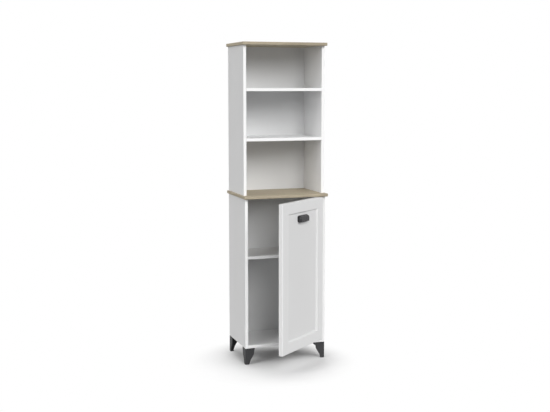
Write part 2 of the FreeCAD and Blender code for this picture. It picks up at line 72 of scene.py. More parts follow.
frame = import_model()
HINGE = frame["joints"][0]
PIVOT = Vector(HINGE["pos_m"])
DOOR_ANGLE = math.radians(-HINGE["range_deg"][0])      # the door stands open by this much
DOOR_TURN = (Matrix.Translation(PIVOT) @ Matrix.Rotation(DOOR_ANGLE, 4, "Z")
             @ Matrix.Translation(-PIVOT))
RIGHT, BACK, UP = Vector((1, 0, 0)), Vector((0, 1, 0)), Vector((0, 0, 1))
MM = 0.001

SIDE_BOARDS = ("lower_side_left", "lower_side_right", "upper_side_left", "upper_side_right")
INNER_BOARDS = ("bottom_panel", "cupboard_shelf", "open_shelf_lower", "open_shelf_upper")
BACK_BOARDS = ("lower_back", "upper_back")
OAK_BOARDS = ("middle_board", "top_board")
DOOR_STRIPS = ("door_stile_free", "door_stile_hinge", "door_rail_top", "door_rail_bottom")
LEGS = ("leg_front_left", "leg_front_right", "leg_back_left", "leg_back_right")
HINGE_METAL = ("hinge_cup_lower", "hinge_cup_upper", "hinge_arm_lower", "hinge_arm_upper",
               "hinge_plate_lower", "hinge_plate_upper")

# Meshes
MERGE_WITHIN = 0.002 * MM               # corners nearer than this become one
FLAT_WITHIN = math.radians(0.2)         # faces that differ by less than this become one
SMOOTH_WITHIN = math.radians(35)        # edges that bend by less than this look smooth
LONG_EDGE = 100 * MM                    # edges longer than this run along a board
BACK_ROUND = 0.2 * MM
MITRE_WITHIN = 0.05                     # how near a mitre's direction is to 45 degrees

# Cup pull
HOOD_INSET = 2 * MM                     # from the plate's ends to the hood's
HOOD_DROP = 1.5 * MM                    # from the plate's top to the hood's
RIM_ROUND = 0.5 * MM
RIM_BEND = math.radians(60)             # edges that bend by more than this get a rounded rim
BOSS_RADIUS = 4.2 * MM
BOSS_HEIGHT = 8 * MM

# Hinges
ARM_OVER_RAIL = 1.7 * MM                # from the plate's rail to the outside of the arm
SETTING_PROUD = 0.9 * MM                # how far a setting screw stands off the arm
SETTING_PLACES = (-11 * MM, 9 * MM)     # the setting screws, from the middle of the plate


# ------------------------------------------------------------------- settings
def colour_setting(name, description, default):
    return bpy.props.FloatVectorProperty(name=name, description=description, default=default,
                                         subtype="COLOR", size=3, min=0, max=1)


def length_setting(name, description, default, low, high):
    """A length with a default and limits, all in millimetres."""
    return bpy.props.FloatProperty(name=name, description=description, unit="LENGTH",
                                   default=default * MM, min=low * MM, max=high * MM)


def strength_setting(name, description, default):
    return bpy.props.FloatProperty(name=name, description=description, default=default, min=0)


class CabinetFinishes(bpy.types.PropertyGroup):
    """Colours of the cabinet's finishes."""

    melamine: colour_setting("Melamine", "White face of the laminated boards", (0.80, 0.80, 0.80))
    lacquer: colour_setting("Lacquer", "White lacquer of the door", (0.83, 0.83, 0.83))
    hardboard: colour_setting("Hardboard", "White face of the thin backs", (0.692, 0.695, 0.697))
    pressed_fibre: colour_setting(
        "Pressed fibre", "Bare rear face of the thin backs", (0.34, 0.22, 0.13))
    chipboard: colour_setting("Chipboard", "Bare edges of the laminated boards", (0.50, 0.37, 0.22))
    oak_light: colour_setting("Oak, light", "Early wood of the oak laminate", (0.465, 0.402, 0.292))
    oak_dark: colour_setting("Oak, dark", "Grain lines of the oak laminate", (0.265, 0.219, 0.152))
    anthracite: colour_setting("Anthracite", "Moulded legs", (0.030, 0.030, 0.032))
    dark_coat: colour_setting("Dark coat", "Powder coat of the cup pull", (0.029, 0.029, 0.031))
    nickel: colour_setting("Nickel", "Plating of the hinges", (0.72, 0.70, 0.67))
    zinc: colour_setting("Zinc", "Plating of the screws and bolts", (0.66, 0.67, 0.69))
    cap: colour_setting("Caps", "White plastic of the cam covers", (0.79, 0.79, 0.78))


class CabinetFittings(bpy.types.PropertyGroup):
    """Sizes of the edges and the small fittings."""

    board_round: length_setting(
        "Board rounding", "Rounding of the white boards' long edges", 0.35, 0.05, 2)
    oak_round: length_setting("Oak rounding", "Rounding of the oak boards' edges", 0.6, 0.05, 2)
    door_round: length_setting(
        "Door rounding", "Rounding of the door's lacquered edges", 0.7, 0.05, 2)
    leg_round: length_setting("Leg rounding", "Rounding of the moulded legs' edges", 0.7, 0.05, 2)
    hinge_round: length_setting(
        "Hinge rounding", "Rounding of the pressed hinge parts", 0.25, 0.05, 1)
    hood_round: length_setting(
        "Hood rounding", "Rounding of the pull's corners and brow", 14, 2, 16)
    hood_wall: length_setting("Hood wall", "Thickness of the pull's hood", 2.2, 1, 4)
    pull_plate: length_setting("Pull plate", "Thickness of the pull's plate", 2, 1, 4)
    pull_corner: length_setting("Pull corner", "Corner radius of the pull's plate", 9, 2, 14)
    screw_slot: length_setting("Screw slot", "Width of each slot of a screw's cross", 0.8, 0.2, 2)
    cam_slot: length_setting("Cam slot", "Width of each slot of a cam's cross", 1.6, 0.5, 4)


class CabinetStudio(bpy.types.PropertyGroup):
    """Camera, lamps and floor of the studio."""

    camera_place: bpy.props.FloatVectorProperty(
        name="Camera place", description="Where the camera stands",
        subtype="TRANSLATION", unit="LENGTH", size=3, default=(-1.68341, -4.76976, 1.47088))
    camera_tilt: bpy.props.FloatProperty(
        name="Camera tilt", description="How far the camera looks down",
        subtype="ANGLE", default=math.radians(7.0978))
    camera_heading: bpy.props.FloatProperty(
        name="Camera heading", description="How far the camera turns right of straight ahead",
        subtype="ANGLE", default=math.radians(18.8860))
    camera_lens: bpy.props.FloatProperty(
        name="Camera lens", description="Focal length on a 36 mm wide sensor, in millimetres",
        default=62.795, min=10, max=300)
    low_left_strength: strength_setting(
        "Low left lamp", "Strength of the low soft lamp on the left", 0.60)
    high_left_strength: strength_setting(
        "High left lamp", "Strength of the high soft lamp on the left", 1.04)
    front_strength: strength_setting("Front lamp", "Strength of the soft lamp in front", 1.84)
    right_strength: strength_setting("Right lamp", "Strength of the soft lamp on the right", 0.84)
    rear_strength: strength_setting("Rear lamp", "Strength of the soft lamp behind", 0.85)
    floor_shade: bpy.props.FloatProperty(
        name="Floor shade", description="How pale the floor is round the cabinet",
        default=1.0, min=0, max=1)
    floor_width: bpy.props.FloatProperty(
        name="Floor width", description="Width of the floor", unit="LENGTH", default=30.0, min=1)
    floor_fade_start: bpy.props.FloatProperty(
        name="Floor fade start", description="Where the floor starts to fade to white",
        unit="LENGTH", default=0.2, min=0)
    floor_fade_end: bpy.props.FloatProperty(
        name="Floor fade end", description="Where the floor has become white",
        unit="LENGTH", default=0.48, min=0)


# ---------------------------------------------------------------- node trees
class Nodes:
    """A node tree under construction."""

    def __init__(self, tree):
        self.tree = tree
        self.tree.nodes.clear()

    def add(self, kind, **settings):
        node = self.tree.nodes.new(kind)
        for key, value in settings.items():
            setattr(node, key, value)
        return node

    def link(self, source, target):
        self.tree.links.new(source, target)

    def feed(self, socket, value):
        """Joins a socket to another one, or sets it to a constant."""
        if isinstance(value, bpy.types.NodeSocket):
            self.link(value, socket)
        else:
            socket.default_value = value

    def reckon(self, operation, first, second):
        node = self.add("ShaderNodeMath", operation=operation)
        self.feed(node.inputs[0], first)
        self.feed(node.inputs[1], second)
        return node.outputs["Value"]

    def between(self, value, low, high, to_low=0.0, to_high=1.0, **settings):
        """value's range from low to high, spread over to_low to to_high."""
        node = self.add("ShaderNodeMapRange", **settings)
        for name, number in (("From Min", low), ("From Max", high),
                             ("To Min", to_low), ("To Max", to_high)):
            node.inputs[name].default_value = number
        self.link(value, node.inputs["Value"])
        return node.outputs["Result"]

    def blend(self, factor, first, second):
        """Two shaders, mixed by a factor socket."""
        node = self.add("ShaderNodeMixShader")
        for index, source in enumerate((factor, first, second)):
            self.link(source, node.inputs[index])
        return node.outputs["Shader"]

    def looked_at(self):
        """1 for what the camera sees, also in a mirror or through glass, and 0 for other light."""
        path = self.add("ShaderNodeLightPath").outputs
        seen = self.reckon("MAXIMUM", path["Is Camera Ray"], path["Is Glossy Ray"])
        return self.reckon("MAXIMUM", seen, path["Is Transmission Ray"])


# ------------------------------------------------------------------ materials
class Recipe(Nodes):
    """A material under construction, with a Principled shader at its end."""

    def __init__(self, name):
        self.material = bpy.data.materials.new(name)
        self.material.use_nodes = True
        super().__init__(self.material.node_tree)
        self.shader = self.add("ShaderNodeBsdfPrincipled")
        output = self.add("ShaderNodeOutputMaterial")
        self.link(self.shader.outputs["BSDF"], output.inputs["Surface"])
        self.place = self.add("ShaderNodeTexCoord").outputs["Object"]

    def stretched(self, scale):
        """The object's coordinates, scaled along each axis."""
        mapping = self.add("ShaderNodeMapping")
        mapping.inputs["Scale"].default_value = scale
        self.link(self.place, mapping.inputs["Vector"])
        return mapping.outputs["Vector"]

    def noise(self, scale, detail=2.0, roughness=0.5, vector=None):
        node = self.add("ShaderNodeTexNoise")
        node.inputs["Scale"].default_value = scale
        node.inputs["Detail"].default_value = detail
        node.inputs["Roughness"].default_value = roughness
        self.link(vector or self.place, node.inputs["Vector"])
        return node.outputs["Fac"]

    def spread(self, noise, to_low=0.0, to_high=1.0):
        """A noise's usual range, 0.3 to 0.7, spread over to_low to to_high."""
        return self.between(noise, 0.3, 0.7, to_low, to_high)

    def chips(self, scale, vector=None):
        """A random grey for each cell of a scattered pattern."""
        node = self.add("ShaderNodeTexVoronoi", feature="F1")
        node.inputs["Scale"].default_value = scale
        self.link(vector or self.place, node.inputs["Vector"])
        grey = self.add("ShaderNodeSeparateColor")
        self.link(node.outputs["Color"], grey.inputs["Color"])
        return grey.outputs["Red"]

    def mix(self, factor, first, second, blend="MIX"):
        """Two colours, or colour sockets, mixed by a factor or a factor socket."""
        node = self.add("ShaderNodeMix", data_type="RGBA", blend_type=blend)
        sockets = [socket for socket in node.inputs if socket.enabled]
        for socket, value in zip(sockets, (factor, first, second)):
            if isinstance(value, bpy.types.NodeSocket):
                self.link(value, socket)
            elif isinstance(value, (int, float)):
                socket.default_value = value
            else:
                socket.default_value = (*value[:3], 1.0)
        return [socket for socket in node.outputs if socket.enabled][0]

    def colour(self, source):
        self.link(source, self.shader.inputs["Base Color"])

    def rough(self, source):
        self.link(source, self.shader.inputs["Roughness"])

    def bump(self, height, strength, distance):
        node = self.add("ShaderNodeBump")
        node.inputs["Strength"].default_value = strength
        node.inputs["Distance"].default_value = distance
        self.link(height, node.inputs["Height"])
        self.link(node.outputs["Normal"], self.shader.inputs["Normal"])


def shade(colour, amount):
    return tuple(channel * amount for channel in colour)


def white_melamine(colour):
    """A satin laminate: even white, with a fine pearled surface."""
    recipe = Recipe("White melamine")
    cloud = recipe.spread(recipe.noise(6.0, 3.0))
    recipe.colour(recipe.mix(cloud, shade(colour, 0.985), colour))
    pearl = recipe.noise(900.0, 3.0, 0.6)
    recipe.rough(recipe.spread(pearl, 0.46, 0.58))
    recipe.bump(pearl, 0.12, 0.2 * MM)
    return recipe.material


def white_banding_painted_light(colour):
    """Edge banding: a plastic tape, smoother than the laminate, and painted whiter than it as
    painted light on the front faces it covers.
    """
    recipe = Recipe("White banding")
    cloud = recipe.spread(recipe.noise(8.0, 2.0))
    # painted light: the front faces' tape is the laminate's white made 14 to 16 per cent lighter
    recipe.colour(recipe.mix(cloud, shade(colour, 1.14), shade(colour, 1.16)))
    pearl = recipe.noise(1200.0, 2.0)
    recipe.rough(recipe.spread(pearl, 0.36, 0.44))
    recipe.bump(pearl, 0.05, 0.1 * MM)
    return recipe.material


def bare_chipboard(colour):
    """Sawn particle board: chips of several browns, with small gaps between them."""
    recipe = Recipe("Bare chipboard")
    coarse = recipe.chips(420.0, recipe.stretched((1.0, 1.0, 0.45)))
    fine = recipe.chips(1100.0)
    body = recipe.mix(coarse, shade(colour, 0.72), shade(colour, 1.25))
    body = recipe.mix(recipe.between(fine, 0.0, 1.0, 0.0, 0.5), body, shade(colour, 0.85))
    gaps = recipe.between(recipe.noise(700.0, 3.0, 0.6), 0.56, 0.7)
    recipe.colour(recipe.mix(gaps, body, shade(colour, 0.35)))
    recipe.rough(recipe.between(fine, 0.0, 1.0, 0.78, 0.92))
    recipe.bump(recipe.mix(0.5, coarse, gaps), 0.35, 0.4 * MM)
    return recipe.material


def white_lacquer(colour):
    """A sprayed lacquer: smoother than the boards, with a faint orange peel."""
    recipe = Recipe("White lacquer")
    cloud = recipe.spread(recipe.noise(5.0, 2.0))
    recipe.colour(recipe.mix(cloud, shade(colour, 0.99), colour))
    peel = recipe.noise(260.0, 2.0, 0.4)
    recipe.rough(recipe.spread(peel, 0.40, 0.48))
    recipe.bump(peel, 0.06, 0.4 * MM)
    return recipe.material


def white_hardboard(colour):
    """The face of a thin back: white print over pressed fibres."""
    recipe = Recipe("White hardboard")
    fibre = recipe.noise(420.0, 4.0, 0.65)
    recipe.colour(recipe.mix(recipe.spread(fibre), shade(colour, 0.97), colour))
    recipe.rough(recipe.spread(fibre, 0.5, 0.68))
    recipe.bump(fibre, 0.1, 0.3 * MM)
    return recipe.material


def pressed_fibre(colour):
    """The bare rear of a thin back: brown fibres and the print of a wire screen."""
    recipe = Recipe("Pressed fibre")
    fibre = recipe.noise(240.0, 5.0, 0.7, recipe.stretched((1.0, 1.0, 0.4)))
    flecks = recipe.between(recipe.noise(60.0, 4.0, 0.6), 0.45, 0.75)
    body = recipe.mix(recipe.spread(fibre), shade(colour, 0.78), shade(colour, 1.2))
    recipe.colour(recipe.mix(flecks, body, shade(colour, 1.4)))
    screen = []
    for direction in ("X", "Z"):
        wave = recipe.add("ShaderNodeTexWave", wave_type="BANDS", bands_direction=direction)
        wave.inputs["Scale"].default_value = 110.0
        recipe.link(recipe.place, wave.inputs["Vector"])
        screen.append(wave.outputs["Fac"])
    recipe.rough(recipe.spread(fibre, 0.7, 0.85))
    recipe.bump(recipe.mix(0.5, screen[0], screen[1], "MULTIPLY"), 0.3, 0.3 * MM)
    return recipe.material


def oak_laminate(name, light, dark, grain_axis):
    """Light oak with cathedrals, fine lines and pores along one axis, and a matt sheen."""
    recipe = Recipe(name)

    def along(slow, fast):
        scale = [fast, fast, fast]
        scale["XY".index(grain_axis)] = slow
        return recipe.stretched(scale)

    long_grain = along(1.3, 9.0)
    drift = recipe.noise(2.2, 3.0, 0.5, long_grain)
    rings = recipe.add("ShaderNodeTexWave", wave_type="BANDS",
                       bands_direction="Y" if grain_axis == "X" else "X")
    rings.inputs["Scale"].default_value = 2.4
    rings.inputs["Distortion"].default_value = 8.0
    rings.inputs["Detail"].default_value = 3.0
    rings.inputs["Detail Scale"].default_value = 0.9
    recipe.link(long_grain, rings.inputs["Vector"])
    fine = recipe.noise(60.0, 5.0, 0.7, along(0.5, 12.0))
    pores = recipe.between(recipe.noise(150.0, 3.0, 0.6, along(0.16, 6.0)), 0.56, 0.68)
    middle = tuple((a + b) / 2 for a, b in zip(light, dark))
    body = recipe.mix(recipe.between(rings.outputs["Fac"], 0.15, 0.95), light, middle)
    body = recipe.mix(recipe.between(drift, 0.35, 0.75, 0.0, 0.6), body, shade(light, 1.12))
    body = recipe.mix(recipe.between(fine, 0.45, 0.8, 0.0, 0.55), body, dark)
    body = recipe.mix(recipe.between(pores, 0.0, 1.0, 0.0, 0.45), body, shade(dark, 0.62))
    recipe.colour(body)
    recipe.rough(recipe.between(fine, 0.2, 0.8, 0.55, 0.7))
    recipe.bump(recipe.mix(0.5, fine, pores), 0.15, 0.4 * MM)
    return recipe.material


def moulded_anthracite(colour):
    """Moulded plastic: fine spark grain, slightly paler where it is rubbed."""
    recipe = Recipe("Moulded anthracite")
    recipe.shader.inputs["Specular IOR Level"].default_value = 0.35
    cloud = recipe.between(recipe.noise(14.0, 3.0), 0.3, 0.75)
    recipe.colour(recipe.mix(cloud, colour, shade(colour, 1.18)))
    grain = recipe.noise(1400.0, 3.0, 0.6)
    recipe.rough(recipe.spread(grain, 0.5, 0.68))
    recipe.bump(grain, 0.22, 0.2 * MM)
    return recipe.material


def coated_anthracite(colour):
    """Powder coating on the pull: satin, with a tight texture."""
    recipe = Recipe("Coated anthracite")
    recipe.shader.inputs["Specular IOR Level"].default_value = 0.3
    cloud = recipe.spread(recipe.noise(40.0, 3.0))
    recipe.colour(recipe.mix(cloud, shade(colour, 0.92), shade(colour, 1.1)))
    grain = recipe.noise(1100.0, 2.0, 0.5)
    recipe.rough(recipe.spread(grain, 0.22, 0.30))
    recipe.bump(grain, 0.1, 0.2 * MM)
    return recipe.material


def plated(name, colour, low, high, brush):
    """A plated metal with faint brushing along one axis."""
    recipe = Recipe(name)
    recipe.shader.inputs["Metallic"].default_value = 1.0
    brushing = recipe.noise(260.0, 3.0, 0.6, recipe.stretched(brush))
    recipe.colour(recipe.mix(recipe.spread(brushing), shade(colour, 0.93), colour))
    recipe.rough(recipe.spread(brushing, low, high))
    recipe.bump(brushing, 0.05, 0.2 * MM)
    return recipe.material


def cap_plastic(colour):
    """Injection-moulded white plastic with a soft gloss."""
    recipe = Recipe("Cap plastic")
    cloud = recipe.spread(recipe.noise(90.0, 2.0))
    recipe.colour(recipe.mix(cloud, shade(colour, 0.985), colour))
    recipe.rough(recipe.spread(recipe.noise(800.0, 2.0), 0.4, 0.5))
    return recipe.material


MATERIALS = {}


def finish(key):
    """The material of that name, made once."""
    colours = bpy.context.scene.cabinet_finishes
    oak = (colours.oak_light, colours.oak_dark)
    recipes = {
        "melamine": (white_melamine, colours.melamine),
        # banding: the laminate's white with painted light, for the front faces
        "banding": (white_banding_painted_light, colours.melamine),
        "chipboard": (bare_chipboard, colours.chipboard),
        "lacquer": (white_lacquer, colours.lacquer),
        # painted shade: the door's panel is its lacquer made darker, standing in for the shade in
        # the recess
        "panel": (white_lacquer, shade(colours.lacquer, 0.945)),
        "hardboard": (white_hardboard, colours.hardboard),
        "fibre": (pressed_fibre, colours.pressed_fibre),
        "oak": (oak_laminate, "Oak laminate", *oak, "X"),
        # painted shade: the oak on the front faces is made 13 per cent darker
        "oak_front": (oak_laminate, "Oak front banding", *(shade(tone, 0.87) for tone in oak), "X"),
        "oak_end": (oak_laminate, "Oak banding", *oak, "Y"),
        "legs": (moulded_anthracite, colours.anthracite),
        "pull": (coated_anthracite, colours.dark_coat),
        "nickel": (plated, "Nickel plate", colours.nickel, 0.2, 0.32, (1, 1, 0.1)),
        "zinc": (plated, "Zinc plate", colours.zinc, 0.3, 0.46, (1, 1, 1)),
        "cap": (cap_plastic, colours.cap),
    }
    if key not in MATERIALS:
        maker, *given = recipes[key]
        MATERIALS[key] = maker(*given)
    return MATERIALS[key]


# --------------------------------------------------------------- mesh helpers
def add_object(name, mesh):
    obj = bpy.data.objects.new(name, mesh)
    bpy.context.scene.collection.objects.link(obj)
    return obj


def raise_if_missing(names):
    missing = [name for name in names if name not in frame["nodes"]]
    if missing:
        raise RuntimeError("the frame has no node named " + ", ".join(missing))


def merged_copy(node):
    """A bmesh of a CAD node with its loose triangles joined up."""
    shape = bmesh.new()
    shape.from_mesh(frame["nodes"][node].data)
    bmesh.ops.remove_doubles(shape, verts=shape.verts, dist=MERGE_WITHIN)
    bmesh.ops.dissolve_limit(shape, angle_limit=FLAT_WITHIN, verts=shape.verts,
                             edges=shape.edges, delimit=set())
    return shape


def bevelled(shape, edges, radius, segments=2, clamped=True):
    return bmesh.ops.bevel(shape, geom=edges, offset=radius, offset_type="OFFSET",
                           segments=segments, profile=0.5, affect="EDGES", clamp_overlap=clamped)


def rounded(shape, radius, chosen=None, angle=30.0):
    """Rounds the sharp edges of a bmesh, or those for which chosen(edge) is true."""
    sharp = [edge for edge in shape.edges
             if edge.is_manifold and edge.calc_face_angle() > math.radians(angle)
             and (chosen is None or chosen(edge))]
    bevelled(shape, sharp, radius)
    return shape


def put_in_order(shape):
    """Builds a bmesh afresh with its faces sorted, since solidify's order differs between runs."""
    shape.verts.index_update()
    points = [vertex.co.copy() for vertex in shape.verts]
    faces = []
    for face in shape.faces:
        ring = [vertex.index for vertex in face.verts]
        start = ring.index(min(ring))
        faces.append(ring[start:] + ring[:start])
    shape.clear()
    vertices = [shape.verts.new(point) for point in points]
    for ring in sorted(faces):
        shape.faces.new([vertices[index] for index in ring])


def is_long(edge):
    return edge.calc_length() > LONG_EDGE


def paint(shape, directions, within=0.9):
    """Gives faces that look one way the next material, in order, after the first."""
    shape.normal_update()
    for face in shape.faces:
        for index, direction in enumerate(directions, start=1):
            if face.normal.dot(direction) > within:
                face.material_index = index


def plain_mesh(obj):
    """The object's mesh with its modifiers applied; the modifiers are gone after it."""
    evaluated = obj.evaluated_get(bpy.context.evaluated_depsgraph_get())
    mesh = bpy.data.meshes.new_from_object(evaluated)
    obj.modifiers.clear()
    return mesh


def settle(obj, keys):
    """Smooths an object, keeps its flat faces flat, and gives it its finishes."""
    mesh = obj.data
    mesh.shade_smooth()
    mesh.set_sharp_from_angle(angle=SMOOTH_WITHIN)
    if not mesh.materials:
        for key in keys:
            mesh.materials.append(finish(key))
    modifier = obj.modifiers.new("Flat faces stay flat", "WEIGHTED_NORMAL")
    modifier.keep_sharp = True
    modifier.weight = 90            # wide faces count for much more than rounded edges
    obj.data = plain_mesh(obj)
    bpy.data.meshes.remove(mesh)


def finished(name, shape, keys, node):
    """Turns a bmesh into a finished piece that stands for a CAD node."""
    mesh = bpy.data.meshes.new(name)
    shape.to_mesh(mesh)
    shape.free()
    return stand_in(add_object(name, mesh), keys, node)


def stand_in(obj, keys, node):
    """Settles a piece, and hangs it on the CAD node's body in the node's place."""
    settle(obj, keys)
    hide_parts(node)
    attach(obj, frame["nodes"][node]["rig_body"])
    return obj


def closed_box(node):
    """The lowest and highest corner of a door node, with the door closed."""
    points = [DOOR_TURN.inverted() @ vertex.co for vertex in frame["nodes"][node].data.vertices]
    return [Vector([pick(point[axis] for point in points) for axis in range(3)])
            for pick in (min, max)]


def block(shape, low, high):
    """Adds a box between two corners to a bmesh and returns its vertices."""
    size = high - low
    place = Matrix.Translation((low + high) / 2) @ Matrix.Diagonal((*size, 1.0))
    return bmesh.ops.create_cube(shape, size=1.0, matrix=place)["verts"]


def edges_of(vertices, wanted):
    """The edges between those vertices for which wanted(direction, middle) is true."""
    inside = set(vertices)
    found = []
    for vertex in vertices:
        for edge in vertex.link_edges:
            ends = edge.verts
            if ends[0] is vertex and ends[1] in inside:
                way = (ends[1].co - ends[0].co).normalized()
                if wanted(way, (ends[0].co + ends[1].co) / 2):
                    found.append(edge)
    return found


# ------------------------------------------------------------------ fasteners
TURNED = "Turned fastener"


def millimetres(*numbers):
    return tuple(number * MM for number in numbers)


FASTENER_SIZES = ("Head Radius", "Head Height", "Crown Radius", "Crown Height",
                  "Shank Radius", "Shank Length", "Slot Width", "Slot Length", "Slot Depth")

# Sizes in that order, as far as each kind has them in common
SCREW_HEAD = millimetres(3.55, 1.95, 2.7, 0.8, 1.7)
SCREW_LENGTHS = {"leg_screws": 14 * MM, "cup_screws": 11 * MM,
                 "plate_screws": 12 * MM, "pull_screws": 20 * MM}
SETTING_SCREW = millimetres(3.4, 1.6, 3.0, 0.4, 1.8, 1.2)
CAM_LOCK = millimetres(7.2, 11.2, 6.9, 0.3, 3.0, 0.5)
CAM_BOLT = millimetres(2.7, 9.0, 2.4, 0.3, 2.5, 24.0)
SHELF_PIN = millimetres(2.45, 8.0, 1.9, 0.6, 2.4, 7.0)
CAM_COVER = millimetres(8.5, 0.8, 7.9, 0.4, 1.5, 0.1)
SCREW_SLOT = millimetres(4.2, 1.1)      # length and depth of the slots in a screw's cross
SETTING_SLOT = millimetres(4.2, 0.9)
CAM_SLOT = millimetres(9.5, 2.6)
NO_SLOT = millimetres(1, 1, 1)          # what is given where a fastener has no slots


def islands(shape):
    """The separate solids of a bmesh, each as a list of faces."""
    seen = set()
    found = []
    for first in shape.faces:
        if first in seen:
            continue
        island, waiting = [], [first]
        seen.add(first)
        while waiting:
            face = waiting.pop()
            island.append(face)
            for edge in face.edges:
                for other in edge.link_faces:
                    if other not in seen:
                        seen.add(other)
                        waiting.append(other)
        found.append(island)
    return found


def mouths(node):
    """For each fastener in a CAD node, the middle of the end that shows, and its way out."""
    shape = merged_copy(node)
    found = []
    for island in islands(shape):
        ends = [face for face in island if len(face.verts) > 4]
        widest = max(face.calc_area() for face in ends)
        ends = [face for face in ends if face.calc_area() > 0.98 * widest]
        # Of two ends as wide, the one that looks down or toward the cabinet's middle shows
        end = max(ends, key=lambda face: -face.normal.z
                  - face.normal.x * math.copysign(1, face.calc_center_median().x))
        found.append((end.calc_center_median().copy(), end.normal.copy()))
    shape.free()
    return found


class Turning(Nodes):
    """A Geometry Nodes tree that sets one turned fastener on every point it is given."""

    def __init__(self):
        super().__init__(bpy.data.node_groups.new(TURNED, "GeometryNodeTree"))
        interface = self.tree.interface
        interface.new_socket("Geometry", in_out="OUTPUT", socket_type="NodeSocketGeometry")
        interface.new_socket("Points", in_out="INPUT", socket_type="NodeSocketGeometry")
        for name in FASTENER_SIZES:
            interface.new_socket(name, in_out="INPUT", socket_type="NodeSocketFloat")
        interface.new_socket("Sides", in_out="INPUT", socket_type="NodeSocketInt")
        interface.new_socket("Slotted", in_out="INPUT", socket_type="NodeSocketBool")
        interface.new_socket("Finish", in_out="INPUT", socket_type="NodeSocketMaterial")
        self.given = self.add("NodeGroupInput").outputs
        self.build()

    def vector(self, x, y, z):
        node = self.add("ShaderNodeCombineXYZ")
        for name, value in (("X", x), ("Y", y), ("Z", z)):
            self.feed(node.inputs[name], value)
        return node.outputs["Vector"]

    def lifted(self, mesh, height):
        node = self.add("GeometryNodeTransform")
        self.link(mesh, node.inputs["Geometry"])
        self.feed(node.inputs["Translation"], self.vector(0.0, 0.0, height))
        return node.outputs["Geometry"]

    def cone(self, wide, narrow, depth):
        """A cone that stands on the ground, narrow end up."""
        node = self.add("GeometryNodeMeshCone")
        for name, value in (("Vertices", self.given["Sides"]), ("Radius Bottom", wide),
                            ("Radius Top", narrow), ("Depth", depth)):
            self.feed(node.inputs[name], value)
        return node.outputs["Mesh"]

    def bar(self, length, width, depth):
        node = self.add("GeometryNodeMeshCube")
        self.feed(node.inputs["Size"], self.vector(length, width, depth))
        return node.outputs["Mesh"]

    def boolean(self, operation, first, *others):
        node = self.add("GeometryNodeMeshBoolean", operation=operation, solver="EXACT")
        if operation == "DIFFERENCE":
            self.feed(node.inputs["Mesh 1"], first)
        else:
            self.feed(node.inputs["Mesh 2"], first)
        for other in others:
            self.link(other, node.inputs["Mesh 2"])
        return node.outputs["Mesh"]

    def build(self):
        given = self.given
        crown_base = self.reckon("MULTIPLY", given["Crown Height"], -1.0)
        head_base = self.reckon("MULTIPLY", given["Head Height"], -1.0)
        shank_end = self.reckon("SUBTRACT", head_base, given["Shank Length"])
        barrel = self.reckon("SUBTRACT", given["Head Height"], given["Crown Height"])
        crown = self.lifted(self.cone(given["Head Radius"], given["Crown Radius"],
                                      given["Crown Height"]), crown_base)
        body = self.lifted(self.cone(given["Head Radius"], given["Head Radius"], barrel), head_base)
        head = self.boolean("UNION", crown, body)
        deep = self.reckon("MULTIPLY", given["Slot Depth"], 2.0)
        slots = (self.bar(given["Slot Length"], given["Slot Width"], deep),
                 self.bar(given["Slot Width"], given["Slot Length"], deep))
        choice = self.add("GeometryNodeSwitch", input_type="GEOMETRY")
        self.feed(choice.inputs["Switch"], given["Slotted"])
        self.feed(choice.inputs["False"], head)
        self.feed(choice.inputs["True"], self.boolean("DIFFERENCE", head, *slots))
        point = self.reckon("MULTIPLY", given["Shank Radius"], 0.4)
        shank = self.lifted(self.cone(given["Shank Radius"], given["Shank Radius"],
                                      given["Shank Length"]), shank_end)
        tip = self.add("GeometryNodeTransform")
        self.feed(tip.inputs["Geometry"], self.cone(given["Shank Radius"], point,
                                                    given["Shank Radius"]))
        tip.inputs["Rotation"].default_value = (math.pi, 0, 0)
        self.feed(tip.inputs["Translation"], self.vector(0.0, 0.0, shank_end))
        whole = self.add("GeometryNodeJoinGeometry")
        for part in (choice.outputs["Output"], shank, tip.outputs["Geometry"]):
            self.link(part, whole.inputs["Geometry"])
        self.set_out(whole.outputs["Geometry"])

    def set_out(self, fastener):
        """Stands the fastener on the points, turned to face their way out."""
        way = self.add("GeometryNodeInputNamedAttribute", data_type="FLOAT_VECTOR")
        way.inputs["Name"].default_value = "way_out"
        turn = self.add("FunctionNodeAlignRotationToVector", axis="Z")
        self.feed(turn.inputs["Vector"], way.outputs["Attribute"])
        placed = self.add("GeometryNodeInstanceOnPoints")
        self.feed(placed.inputs["Points"], self.given["Points"])
        self.feed(placed.inputs["Instance"], fastener)
        self.feed(placed.inputs["Rotation"], turn.outputs["Rotation"])
        real = self.add("GeometryNodeRealizeInstances")
        self.feed(real.inputs["Geometry"], placed.outputs["Instances"])
        coat = self.add("GeometryNodeSetMaterial")
        self.feed(coat.inputs["Geometry"], real.outputs["Geometry"])
        self.feed(coat.inputs["Material"], self.given["Finish"])
        self.feed(self.add("NodeGroupOutput").inputs["Geometry"], coat.outputs["Geometry"])


def turned(name, places, sizes, key, sides=24, slotted=True):
    """One object with a turned fastener at each (point, way out), made by the tree."""
    tree = bpy.data.node_groups.get(TURNED) or Turning().tree
    points = bpy.data.meshes.new(name)
    points.from_pydata([point for point, way in places], [], [])
    ways = points.attributes.new("way_out", "FLOAT_VECTOR", "POINT")
    for index, (point, way) in enumerate(places):
        ways.data[index].vector = way
    obj = add_object(name, points)
    modifier = obj.modifiers.new(TURNED, "NODES")
    modifier.node_group = tree
    values = dict(zip(FASTENER_SIZES, sizes), Sides=sides, Slotted=slotted, Finish=finish(key))
    for socket in tree.interface.items_tree:
        if socket.in_out == "INPUT" and socket.name in values:
            modifier[socket.identifier] = values[socket.name]
    mesh = plain_mesh(obj)
    obj.data = mesh
    if "way_out" in mesh.attributes:
        mesh.attributes.remove(mesh.attributes["way_out"])
    bpy.data.meshes.remove(points)
    return obj


